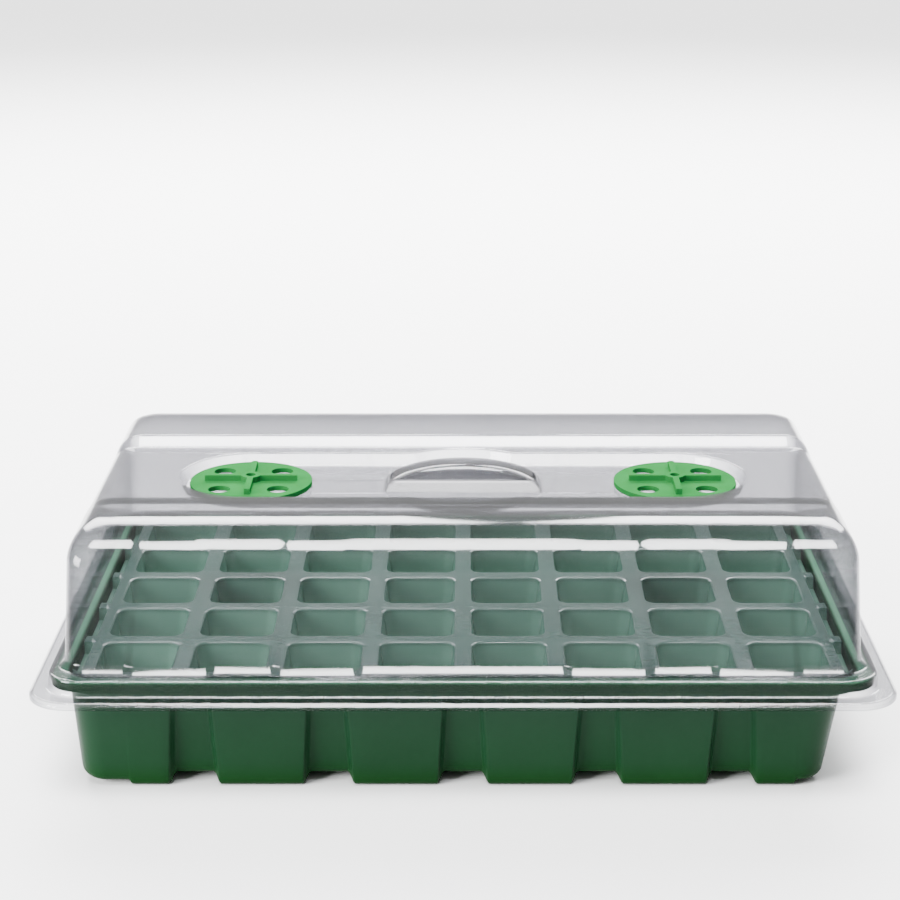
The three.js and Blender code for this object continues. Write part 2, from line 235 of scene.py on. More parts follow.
def face_normals(points, faces):
    """The area vector of each face."""
    vectors = np.zeros((len(faces), 3))
    for i, face in enumerate(faces):
        first = points[face[0]]
        for k in range(1, len(face) - 1):
            vectors[i] += np.cross(points[face[k]] - first, points[face[k + 1]] - first)
    return vectors


def thickened(points, faces, thickness):
    """A closed shell: the given skin, and its copy behind it."""
    vectors = face_normals(points, faces)
    normals = np.zeros_like(points)
    for face, vector in zip(faces, vectors):
        for n in face:
            normals[n] += vector
    lengths = np.linalg.norm(normals, axis=1, keepdims=True)
    normals /= np.maximum(lengths, 1e-12)
    shift = len(points)
    behind = points - normals * thickness
    closed = list(faces)
    closed += [tuple(n + shift for n in reversed(face)) for face in faces]
    edges = {}
    for face in faces:
        for i, a in enumerate(face):
            edges[(a, face[(i + 1) % len(face)])] = True
    for a, b in edges:
        if (b, a) not in edges:
            closed.append((b, a, a + shift, b + shift))
    return np.concatenate([points, behind]), closed


def mesh_object(name, points, faces, material, crease=50):
    mesh = bpy.data.meshes.new(name)
    mesh.from_pydata([tuple(p) for p in points], [], [tuple(int(n) for n in f) for f in faces])
    mesh.validate()
    mesh.shade_smooth()
    mesh.set_sharp_from_angle(angle=math.radians(crease))
    piece = bpy.data.objects.new(name, mesh)
    bpy.context.scene.collection.objects.link(piece)
    piece.data.materials.append(material)
    weighted = piece.modifiers.new("flat faces stay flat", "WEIGHTED_NORMAL")
    weighted.keep_sharp = True
    return piece


def ring(left, right, half_y, corner, xs, ys, steps):
    """Points round a rounded rectangle, counter-clockwise from the front left, and the way each
    faces. xs and ys are the places along the straight sides."""
    centres = [
        (right - corner, -half_y + corner, -90),
        (right - corner, half_y - corner, 0),
        (left + corner, half_y - corner, 90),
        (left + corner, -half_y + corner, 180),
    ]
    arcs = []
    for cx, cy, start in centres:
        angles = np.radians(span(start, start + 90, steps + 1))
        facing = np.stack([np.cos(angles), np.sin(angles)], axis=1)
        arcs.append((np.array([cx, cy]) + corner * facing, facing))

    def side(places, fixed, facing, along_x):
        other = np.full(len(places), fixed)
        points = np.stack([places, other] if along_x else [other, places], axis=1)
        return points, np.tile(facing, (len(places), 1))

    parts = [
        side(xs, -half_y, (0.0, -1.0), True),
        arcs[0],
        side(ys, right, (1.0, 0.0), False),
        arcs[1],
        side(xs[::-1], half_y, (0.0, 1.0), True),
        arcs[2],
        side(ys[::-1], left, (-1.0, 0.0), False),
        arcs[3],
    ]
    points = np.concatenate([part[0] for part in parts])
    facing = np.concatenate([part[1] for part in parts])
    return points, facing


def parts_of_ring(numbers, xs, ys, steps):
    """A ring's points as its front, front right corner, right side and so on, to its last
    corner at the front left."""
    corner = steps + 1
    lengths = [len(xs), corner, len(ys), corner, len(xs), corner, len(ys)]
    return np.split(numbers, np.cumsum(lengths))


def lifted(points, heights):
    return np.column_stack([points, np.broadcast_to(heights, len(points))])


def around(edges, width, count):
    """count places across each edge, spread over width."""
    offsets = span(-width / 2, width / 2, count)
    return np.sort(np.concatenate([edge + offsets for edge in edges]))


def filled(places, longest):
    """The places with more between them where they lie further apart than longest."""
    result = [places[0]]
    for low, high in zip(places[:-1], places[1:]):
        parts = max(1, int(math.ceil((high - low) / longest)))
        result += list(span(low, high, parts + 1)[1:])
    return np.array(result)


def edges_of(middles, half):
    return [middle + side * half for middle in middles for side in (-1, 1)]


def bands(places, middles, half, edge):
    """1 in each band, 0 between the bands."""
    return np.max([plateau(places, m, half - edge / 2, edge) for m in middles], axis=0)


# ---------- materials ----------


def plastic_nodes(name):
    material = bpy.data.materials.new(name)
    material.use_nodes = True
    nodes = material.node_tree.nodes
    links = material.node_tree.links
    shader = nodes["Principled BSDF"]
    coordinates = nodes.new("ShaderNodeTexCoord")
    return material, nodes, links, shader, coordinates.outputs["Object"]


def noise(nodes, links, where, scale, detail=2.0, roughness=0.5):
    texture = nodes.new("ShaderNodeTexNoise")
    texture.inputs["Scale"].default_value = scale
    texture.inputs["Detail"].default_value = detail
    texture.inputs["Roughness"].default_value = roughness
    links.new(where, texture.inputs["Vector"])
    return texture.outputs["Fac"]


def ramp(nodes, links, value, stops):
    element = nodes.new("ShaderNodeValToRGB")
    links.new(value, element.inputs["Fac"])
    bar = element.color_ramp.elements
    while len(bar) < len(stops):
        bar.new(0.5)
    for stop, (place, colour) in zip(bar, stops):
        stop.position = place
        stop.color = (*colour, 1.0)
    return element.outputs["Color"]


def bump(nodes, links, height, strength, distance):
    node = nodes.new("ShaderNodeBump")
    node.inputs["Strength"].default_value = strength
    node.inputs["Distance"].default_value = distance
    links.new(height, node.inputs["Height"])
    return node.outputs["Normal"]


def height_of(nodes, links, where, low, high):
    """0 at low and 1 at high, in metres above the ground."""
    split = nodes.new("ShaderNodeSeparateXYZ")
    links.new(where, split.inputs["Vector"])
    scale = nodes.new("ShaderNodeMapRange")
    scale.inputs["From Min"].default_value = low
    scale.inputs["From Max"].default_value = high
    links.new(split.outputs["Z"], scale.inputs["Value"])
    return scale.outputs["Result"]


def mixed(nodes, links, factor, a, b, blend="MIX"):
    mix = nodes.new("ShaderNodeMix")
    mix.data_type = "RGBA"
    mix.blend_type = blend
    if isinstance(factor, float):
        mix.inputs["Factor"].default_value = factor
    else:
        links.new(factor, mix.inputs["Factor"])
    for socket, value in ((mix.inputs["A"], a), (mix.inputs["B"], b)):
        if isinstance(value, tuple):
            socket.default_value = (*value, 1.0)
        else:
            links.new(value, socket)
    return mix.outputs["Result"]


def tray_material():
    """Thin dark green sheet, greyer up the wall and more saturated towards the feet, with painted
    shade on the rim's face and a painted highlight along its top.
    """
    material, nodes, links, shader, where = plastic_nodes("tray_green")
    height = height_of(nodes, links, where, 0.0, RIM_Z)
    # greyer up the wall, more saturated towards the feet; at the top, painted shade on the rim's
    # face and a painted highlight along the rim's top
    tone_and_painted_rim_light = ramp(
        nodes,
        links,
        height,
        [
            (0.0, (0.0013, 0.026, 0.0027)),
            (0.22, (0.0042, 0.025, 0.009)),
            (0.85, (0.0075, 0.026, 0.0135)),
            (0.985, (0.0018, 0.018, 0.0055)),
            (0.997, (0.05, 0.17, 0.095)),
        ],
    )
    cloud = noise(nodes, links, where, 22.0, 3.0)
    shade = ramp(nodes, links, cloud, [(0.3, (0.82, 0.86, 0.84)), (0.7, (1.08, 1.05, 1.06))])
    colour = mixed(nodes, links, 0.8, tone_and_painted_rim_light, shade, "MULTIPLY")
    links.new(colour, shader.inputs["Base Color"])
    shader.inputs["Roughness"].default_value = 0.36
    shader.inputs["Specular IOR Level"].default_value = 0.05
    grain = noise(nodes, links, where, 900.0, 2.0)
    links.new(bump(nodes, links, grain, 0.12, 0.0004), shader.inputs["Normal"])
    return material


def sheet_material():
    """Grey-green translucent sheet, greener down in the cells. Painted light: the upper cell walls
    lighter against their shade, the ridge tops darker against the light they catch.
    """
    material, nodes, links, shader, where = plastic_nodes("sheet_grey")
    height = height_of(nodes, links, where, CUP_FLOOR_Z, SHEET_Z)
    # painted light: the upper cell walls are lifted against the shade they get, and the ridge tops
    # darkened against the light they catch
    body = ramp(
        nodes,
        links,
        height,
        [
            (0.0, (0.04, 0.14, 0.085)),
            (0.6, (0.105, 0.2, 0.15)),
            (0.95, (0.075, 0.155, 0.115)),
            (1.0, (0.03, 0.064, 0.051)),
        ],
    )
    cloud = noise(nodes, links, where, 30.0, 4.0)
    shade = ramp(nodes, links, cloud, [(0.3, (0.84, 0.88, 0.88)), (0.7, (1.06, 1.04, 1.04))])
    links.new(mixed(nodes, links, 0.8, body, shade, "MULTIPLY"), shader.inputs["Base Color"])
    shader.inputs["Roughness"].default_value = 0.13
    shader.inputs["Specular IOR Level"].default_value = 0.3
    grain = noise(nodes, links, where, 260.0, 2.0)
    links.new(bump(nodes, links, grain, 0.1, 0.0005), shader.inputs["Normal"])
    return material


def painted_handle_foot_shade(nodes, links, where):
    """White, but grey at the foot of the handle's arch: painted shade that dims what is seen through
    it there.
    """
    at_edge = 0.9
    scaled = nodes.new("ShaderNodeVectorMath")
    scaled.operation = "MULTIPLY"
    scaled.inputs[1].default_value = (at_edge / HANDLE_X, at_edge / HANDLE_FOOT, 0)
    links.new(where, scaled.inputs[0])
    sides = nodes.new("ShaderNodeVectorMath")
    sides.operation = "ABSOLUTE"
    links.new(scaled.outputs[0], sides.inputs[0])
    split = nodes.new("ShaderNodeSeparateXYZ")
    links.new(sides.outputs[0], split.inputs["Vector"])
    reach = nodes.new("ShaderNodeMath")
    reach.operation = "MAXIMUM"
    links.new(split.outputs["X"], reach.inputs[0])
    links.new(split.outputs["Y"], reach.inputs[1])
    rise = height_of(nodes, links, where, RECESS_FLOOR_Z, RECESS_FLOOR_Z + HANDLE_RISE)
    # painted shade: what is seen through the arch is dimmed low down on it
    low = ramp(nodes, links, rise, [(0.3, (0.6,) * 3), (0.55, (0.95,) * 3)])
    outside = ramp(nodes, links, reach.outputs[0], [(at_edge, (0.0,) * 3), (0.93, (1.0,) * 3)])
    return mixed(nodes, links, outside, low, (1.0, 1.0, 1.0))


def clear_material():
    """Clear sheet with a faint grey tint: see-through, with gloss that grows at a glance."""
    material = bpy.data.materials.new("clear_plastic")
    material.use_nodes = True
    nodes = material.node_tree.nodes
    links = material.node_tree.links
    nodes.remove(nodes["Principled BSDF"])
    output = nodes["Material Output"]
    coordinates = nodes.new("ShaderNodeTexCoord")
    where = coordinates.outputs["Object"]
    wave = noise(nodes, links, where, 14.0, 1.0)
    relief = bump(nodes, links, wave, 0.012, 0.0012)

    facing = nodes.new("ShaderNodeLayerWeight")
    facing.inputs["Blend"].default_value = 0.5
    through = nodes.new("ShaderNodeBsdfTransparent")
    haze = noise(nodes, links, where, 9.0, 3.0)
    clouds = ramp(nodes, links, haze, [(0.3, (0.97, 0.97, 0.975)), (0.7, (1.0, 1.0, 1.0))])
    # light that goes through at a slant crosses more plastic
    depth = ramp(
        nodes,
        links,
        facing.outputs["Facing"],
        [(0.0, (0.94, 0.94, 0.945)), (0.7, (0.54, 0.54, 0.56)), (1.0, (0.64, 0.64, 0.66))],
    )
    # painted shade at the foot of the handle's arch
    arch = painted_handle_foot_shade(nodes, links, where)
    clouds = mixed(nodes, links, 1.0, clouds, arch, "MULTIPLY")
    links.new(mixed(nodes, links, 1.0, depth, clouds, "MULTIPLY"), through.inputs["Color"])
    gloss = nodes.new("ShaderNodeBsdfAnisotropic")
    gloss.inputs["Roughness"].default_value = 0.09
    links.new(relief, gloss.inputs["Normal"])
    milk = nodes.new("ShaderNodeBsdfDiffuse")
    milk.inputs["Color"].default_value = (0.62, 0.63, 0.65, 1.0)

    # the sheet keeps its gloss where it lies flat, and is drawn thin and dull on upright walls
    upright = nodes.new("ShaderNodeSeparateXYZ")
    links.new(coordinates.outputs["Normal"], upright.inputs["Vector"])
    level = nodes.new("ShaderNodeMath")
    level.operation = "ABSOLUTE"
    links.new(upright.outputs["Z"], level.inputs[0])
    face_on = nodes.new("ShaderNodeMapRange")
    face_on.inputs["From Min"].default_value = 0.2
    face_on.inputs["From Max"].default_value = 0.5
    face_on.inputs["To Min"].default_value = 0.004
    face_on.inputs["To Max"].default_value = 0.05
    links.new(level.outputs[0], face_on.inputs["Value"])
    # gloss: a little of it face on, all of it edge on
    glance = nodes.new("ShaderNodeMath")
    glance.operation = "POWER"
    glance.inputs[1].default_value = 5.0
    links.new(facing.outputs["Facing"], glance.inputs[0])
    share = nodes.new("ShaderNodeMath")
    share.operation = "MULTIPLY_ADD"
    share.inputs[1].default_value = 0.95
    links.new(face_on.outputs["Result"], share.inputs[2])
    links.new(glance.outputs[0], share.inputs[0])
    body = nodes.new("ShaderNodeMixShader")
    body.inputs["Fac"].default_value = 0.002
    links.new(through.outputs[0], body.inputs[1])
    links.new(milk.outputs[0], body.inputs[2])
    surface = nodes.new("ShaderNodeMixShader")
    links.new(share.outputs[0], surface.inputs["Fac"])
    links.new(body.outputs[0], surface.inputs[1])
    links.new(gloss.outputs[0], surface.inputs[2])
    links.new(surface.outputs[0], output.inputs["Surface"])
    return material


def vent_material():
    """Bright green moulded polypropylene with a fine satin grain."""
    material, nodes, links, shader, where = plastic_nodes("vent_green")
    cloud = noise(nodes, links, where, 60.0, 3.0)
    colour = ramp(nodes, links, cloud, [(0.3, (0.012, 0.11, 0.025)), (0.7, (0.016, 0.13, 0.031))])
    links.new(colour, shader.inputs["Base Color"])
    shader.inputs["Roughness"].default_value = 0.6
    shader.inputs["Specular IOR Level"].default_value = 0.0
    shader.inputs["Subsurface Weight"].default_value = 0.1
    shader.inputs["Subsurface Scale"].default_value = 0.003
    grain = noise(nodes, links, where, 1400.0, 2.0)
    links.new(bump(nodes, links, grain, 0.15, 0.0002), shader.inputs["Normal"])
    return material


TRAY = tray_material()
SHEET = sheet_material()
CLEAR = clear_material()
VENT = vent_material()

# ---------- base tray ----------

TRAY_WALL = 1.2 * MM
# the outside of its body: left, right and half depth
BODY_LOW = np.array([-180.2, 170.2, 107.4]) * MM
BODY_TOP = np.array([-182.9, 176.6, 111.8]) * MM
BODY_TOP_Z = 48 * MM
BODY_CORNER_LOW = 13 * MM
BODY_CORNER_TOP = 14 * MM
FRONT_FILLET = 4 * MM  # where the front and back turn into the floor
END_FILLET = 6 * MM  # and the ends, sideways
END_FILLET_RISE = 5 * MM  # and upwards
THROAT_X = 183 * MM  # the inside just under the rim
THROAT_Y = 113.3 * MM
THROAT_CORNER = 12.5 * MM
RIM_CORNER = 13 * MM
RIM_BEND = 1.0 * MM
RIM_LIP_Z = 53.5 * MM

FLUTE_PITCH = 63 * MM
FLUTE_HALF = 10.5 * MM
FLUTE_NARROWING = 2.4 * MM  # of that half, on the way up
FLUTE_EDGE = 3.6 * MM
FLUTE_DEPTH = 5 * MM
FLUTE_FADE = 0.35  # of the depth, lost on the way up
FRONT_FLUTES = [k * FLUTE_PITCH for k in (-2, -1, 0, 1, 2)]
END_FLUTES = [k * FLUTE_PITCH for k in (-1, 0, 1)]
CHANNEL_Z = 4 * MM
END_STEP_Z = 2.2 * MM
STEP_X = 155.3 * MM  # where the feet at the ends step up
STEP_RUN = 1.7 * MM


def foot_height(points):
    """The height of the tray's underside at each point."""
    channels = np.maximum(
        bands(points[:, 0], FRONT_FLUTES, FLUTE_HALF, FLUTE_EDGE),
        bands(points[:, 1], END_FLUTES, FLUTE_HALF, FLUTE_EDGE),
    )
    ends = smooth((np.abs(points[:, 0]) - STEP_X) / STEP_RUN)
    return np.maximum(CHANNEL_Z * channels, END_STEP_Z * ends)


def flute_weight(points, facing, half):
    """1 in the flutes, which the front, the back and the left end have."""
    front = np.abs(facing[:, 1]) > SQUARE_ON
    left = facing[:, 0] < -SQUARE_ON
    weight = np.zeros(len(points))
    weight[front] = bands(points[front, 0], FRONT_FLUTES, half, FLUTE_EDGE)
    weight[left] = bands(points[left, 1], END_FLUTES, half, FLUTE_EDGE)
    return weight


def tray_underside(skin, first, edge, xs, ys, steps):
    """A grid that meets the wall's first row. Half of each corner's arc goes to each side."""
    parts = parts_of_ring(first, xs, ys, steps)
    front, front_right, right, back_right, back, back_left, left, front_left = parts
    half = steps // 2
    arc = half + 1
    grid = np.full((len(ys) + 2 * arc, len(xs) + 2 * arc), -1)
    grid[0] = np.concatenate([front_left[half:], front, front_right[:arc]])
    grid[-1] = np.concatenate([back_left[:arc][::-1], back[::-1], back_right[half:][::-1]])
    grid[:, 0] = np.concatenate([front_left[:arc][::-1], left[::-1], back_left[half:][::-1]])
    grid[:, -1] = np.concatenate([front_right[half:], right, back_right[:arc]])
    lines, columns = grid.shape
    front_row = edge[grid[0, 1:-1]]
    back_row = edge[grid[-1, 1:-1]]
    front_y = edge[grid[0, columns // 2]][1]
    back_y = edge[grid[-1, columns // 2]][1]
    for j in range(1, lines - 1):
        left_end = edge[grid[j, 0]]
        right_end = edge[grid[j, -1]]
        share_y = (left_end[1] - front_y) / (back_y - front_y)
        x = front_row[:, 0] + (back_row[:, 0] - front_row[:, 0]) * share_y
        # the columns of the corners are stretched to end on the corners' arcs
        for reach, end, side in (
            (x[arc], left_end[0], BODY_LOW[0]),
            (x[-arc - 1], right_end[0], BODY_LOW[1]),
        ):
            beyond = x < reach if side < 0 else x > reach
            x = np.where(beyond, reach + (x - reach) * (end - reach) / (side - reach), x)
        points = np.column_stack([x, np.full(len(x), left_end[1])])
        grid[j, 1:-1] = skin.add(lifted(points, foot_height(points)))
    for j in range(lines - 1):
        for i in range(columns - 1):
            skin.faces.append((grid[j, i], grid[j + 1, i], grid[j + 1, i + 1], grid[j, i + 1]))


def base_tray():
    skin = Skin()
    steps = 8
    spacing = 12 * MM
    straight_x = 149 * MM
    straight_y = 91 * MM

    def places_at(height):
        """The places along the front and the ends, and half a flute, at a share of the height."""
        half = FLUTE_HALF - FLUTE_NARROWING * height
        xs = around(edges_of(FRONT_FLUTES, half), FLUTE_EDGE, 5)
        ys = around(edges_of(END_FLUTES, half), FLUTE_EDGE, 5)
        step = STEP_X + STEP_RUN * span(0, 1, 4)
        ends_x = np.concatenate([span(xs[-1], straight_x, 4)[1:], step])
        ends_y = span(ys[-1], straight_y, 4)[1:]
        xs = np.concatenate([-ends_x[::-1], filled(xs, spacing), ends_x])
        ys = np.concatenate([-ends_y[::-1], filled(ys, spacing), ends_y])
        return xs, ys, half

    def wall_row(height, fillet=None):
        """One row round the wall, at a share of its height. fillet is its angle in the bottom
        fillet, if it lies there."""
        xs, ys, half = places_at(height)
        left, right, half_y = BODY_LOW + (BODY_TOP - BODY_LOW) * height
        corner = BODY_CORNER_LOW + (BODY_CORNER_TOP - BODY_CORNER_LOW) * height
        points, facing = ring(left, right, half_y, corner, xs, ys, steps)
        end = np.abs(facing[:, 0]) ** 2
        reach = FRONT_FILLET + (END_FILLET - FRONT_FILLET) * end
        rise = FRONT_FILLET + (END_FILLET_RISE - FRONT_FILLET) * end
        inset = FLUTE_DEPTH * (1 - FLUTE_FADE * height) * flute_weight(points, facing, half)
        under = foot_height(points)
        if fillet is None:
            z = under + rise + (BODY_TOP_Z - under - rise) * height
        else:
            inset = inset + reach * (1 - math.cos(fillet))
            z = under + rise * (1 - math.sin(fillet))
        return lifted(points - facing * inset[:, None], z)

    def rim_row(x, half_y, corner, z):
        xs, ys, _ = places_at(1.0)
        xs = xs * min(1.0, (x - corner - 1 * MM) / (STEP_X + STEP_RUN))
        points, _ = ring(-x, x, half_y, corner, xs, ys, steps)
        return lifted(points, z)

    rows = [wall_row(0.0, angle) for angle in np.radians(span(90, 0, 6))]
    edge = rows[0]
    rows += [wall_row(share) for share in span(0.12, 1.0, 6)]
    # the throat, and its turn outwards to the top of the rim: out, corner and height
    for out, corner, z in (
        (0.0, THROAT_CORNER, 49.3 * MM),
        (0.0, THROAT_CORNER, 50.0 * MM),
        (0.0, THROAT_CORNER, RIM_Z - 2.6 * MM),
        (0.3 * MM, 12.8 * MM, RIM_Z - 1.7 * MM),
        (1.2 * MM, RIM_CORNER, RIM_Z - TRAY_WALL),
    ):
        rows.append(rim_row(THROAT_X + out, THROAT_Y + out, corner, z))
    # the rim's outer bend and lip
    outer_x = RIM_X - TRAY_WALL
    outer_y = RIM_Y - TRAY_WALL
    for angle in np.radians(span(0, 90, 5)):
        inset = RIM_BEND * (1 - math.sin(angle))
        z = RIM_Z - TRAY_WALL - RIM_BEND * (1 - math.cos(angle))
        rows.append(rim_row(outer_x - inset, outer_y - inset, RIM_CORNER - inset, z))
    rows.append(rim_row(outer_x, outer_y, RIM_CORNER, RIM_LIP_Z))

    numbers = [skin.add(row) for row in rows]
    for lower, higher in zip(numbers[:-1], numbers[1:]):
        skin.strip(lower, higher, True)
    xs, ys, _ = places_at(0.0)
    tray_underside(skin, numbers[0], edge, xs, ys, steps)

    points, faces = skin.welded()
    points, faces = thickened(points, faces, TRAY_WALL)
    piece = mesh_object("tray_shell", points, faces, TRAY)
    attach(piece, "base")
    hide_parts("base_tray")


base_tray()

# ---------- sheet of cells ----------

SHEET_WALL = 0.7 * MM
MOUTH_HALF = 17.5 * MM
MOUTH_CORNER = 6.0 * MM
LIP_FILLET = 1.1 * MM
CUP_BASE_HALF = 9.9 * MM
CUP_BASE_CORNER = 3.6 * MM
CUP_BASE_WALL = 1.0 * MM
CUP_FILLET = 2 * MM
SHEET_CORNER = 12 * MM
SHARP = 0.01 * MM  # the corner of a square of ridges
TAB_HALF = 4.2 * MM
TAB_EDGE = 1.6 * MM
POCKET = 6 * MM
GRID_X = CELL_COLUMNS * CELL_PITCH / 2
GRID_Y = CELL_ROWS * CELL_PITCH / 2


def cell_profile():
    """From the ridges down to the floor of a cell: half size, corner and height."""
    profile = [(CELL_PITCH / 2, SHARP, SHEET_Z)]
    for angle in np.radians(span(0, 80, 5)):
        size = MOUTH_HALF + LIP_FILLET * (1 - math.sin(angle))
        profile.append((size, MOUTH_CORNER, SHEET_Z - LIP_FILLET * (1 - math.cos(angle))))
    floor_z = CUP_FLOOR_Z + CUP_BASE_WALL
    top_z = profile[-1][2]
    for share in span(0, 1, 5)[1:]:
        size = MOUTH_HALF + (CUP_BASE_HALF - MOUTH_HALF) * share
        corner = MOUTH_CORNER + (CUP_BASE_CORNER - MOUTH_CORNER) * share
        profile.append((size, corner, top_z + (floor_z + CUP_FILLET - top_z) * share))
    for angle in np.radians(span(25, 90, 4)):
        size = CUP_BASE_HALF - CUP_FILLET * (1 - math.cos(angle))
        profile.append((size, CUP_BASE_CORNER, floor_z + CUP_FILLET * (1 - math.sin(angle))))
    return profile


def cells(skin):
    """All the cells, each with its share of the ridges round it."""
    straight = 3
    for row in range(CELL_ROWS):
        for column in range(CELL_COLUMNS):
            x = (column - (CELL_COLUMNS - 1) / 2) * CELL_PITCH
            y = (row - (CELL_ROWS - 1) / 2) * CELL_PITCH
            numbers = []
            for size, corner, z in cell_profile():
                flat = span(-size + corner, size - corner, straight + 2)[1:-1]
                points, _ = ring(-size, size, size, corner, flat, flat, 6)
                numbers.append(skin.add(lifted(points, z) + np.array([x, y, 0])))
            for outer, inner in zip(numbers[:-1], numbers[1:]):
                skin.strip(outer, inner, True)
            skin.faces.append(tuple(numbers[-1]))


def edge_of_sheet(skin):
    """The margin between the outer cells and the tray's rim. At the two ends it has level tabs
    at the ridges, with sunken pockets between them."""

    def along(half_length, count):
        """The ridges that end on one side of the grid, and the places that their tabs need."""
        ridges = [-half_length + k * CELL_PITCH for k in range(count + 1)]
        places = around(edges_of(ridges, TAB_HALF), TAB_EDGE, 4)
        places = places[(places > -half_length) & (places < half_length)]
        places = np.concatenate([[-half_length], places, [half_length]])
        return ridges, filled(places, 10 * MM)

    _, xs = along(GRID_X, CELL_COLUMNS)
    end_ridges, ys = along(GRID_Y, CELL_ROWS)
    # clipped places must not fall together, so each lies a little further than the last
    apart = 1e-6 * (np.arange(len(xs)) - (len(xs) - 1) / 2)

    def margin(out, sunk):
        """A row round the sheet, at a share of the way out, with the pockets sunk by a share."""
        reach_x = GRID_X + (SHEET_X - GRID_X) * out
        reach_y = GRID_Y + (SHEET_Y - GRID_Y) * out
        corner = 2 * SHARP + SHEET_CORNER * out
        place_x = np.clip(xs, corner - reach_x, reach_x - corner) + apart
        place_y = np.clip(ys, corner - reach_y, reach_y - corner)
        points, facing = ring(-reach_x, reach_x, reach_y, corner, place_x, place_y, 6)
        end = np.abs(facing[:, 0]) > SQUARE_ON
        pockets = np.zeros(len(points))
        pockets[end] = 1 - bands(points[end, 1], end_ridges, TAB_HALF, TAB_EDGE)
        return lifted(points, SHEET_Z - POCKET * pockets * sunk)

    numbers = []
    for out, sunk in ((0.0, 0.0), (0.2, 0.0), (0.32, 0.6), (0.45, 1.0), (0.8, 1.0), (1.0, 1.0)):
        numbers.append(skin.add(margin(out, sunk)))
    for inner, outer in zip(numbers[:-1], numbers[1:]):
        skin.strip(outer, inner, True)


def cell_sheet():
    """One skin, seen from above, thickened downwards."""
    skin = Skin()
    cells(skin)
    edge_of_sheet(skin)
    points, faces = skin.welded()
    points, faces = thickened(points, faces, SHEET_WALL)
    piece = mesh_object("cell_sheet", points, faces, SHEET)
    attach(piece, "cell_sheet")
    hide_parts(*CELL_NODES)


cell_sheet()

# ---------- dome ----------


def recess_outline(offset):
    """Points round the recess, moved out by offset: a stadium with a round middle."""
    side_y = RECESS_Y + offset
    bulge = RECESS_R + offset
    soft = RECESS_FILLET - offset
    # the fillet between the straight side and the round middle
    centre_y = side_y + soft
    centre_x = math.sqrt((bulge + soft) ** 2 - centre_y**2)
    turn = math.atan2(centre_y, centre_x)
    end_x = RECESS_X - RECESS_Y
    quarter = []
    for angle in span(0, math.pi / 2, 19):
        quarter.append((end_x + side_y * math.cos(angle), side_y * math.sin(angle)))
    for share in span(0, 1, 5)[1:-1]:
        quarter.append((end_x + (centre_x - end_x) * share, side_y))
    for angle in span(-math.pi / 2, -math.pi + turn, 7):
        quarter.append((centre_x + soft * math.cos(angle), centre_y + soft * math.sin(angle)))
    for angle in span(turn, math.pi / 2, 11)[1:]:
        quarter.append((bulge * math.cos(angle), bulge * math.sin(angle)))
    quarter = np.array(quarter)
    mirror = quarter[::-1][1:] * np.array([-1, 1])
    upper = np.concatenate([quarter, mirror])
    lower = (upper[::-1] * np.array([1, -1]))[1:-1]
    return np.concatenate([upper, lower])


def circle(x, y, radius, count):
    angles = np.arange(count) * 2 * math.pi / count
    return np.column_stack([x + radius * np.cos(angles), y + radius * np.sin(angles)])


def pilaster_half(height):
    return PILASTER_FOOT + (PILASTER_TOP - PILASTER_FOOT) * np.clip(height, 0, 1)


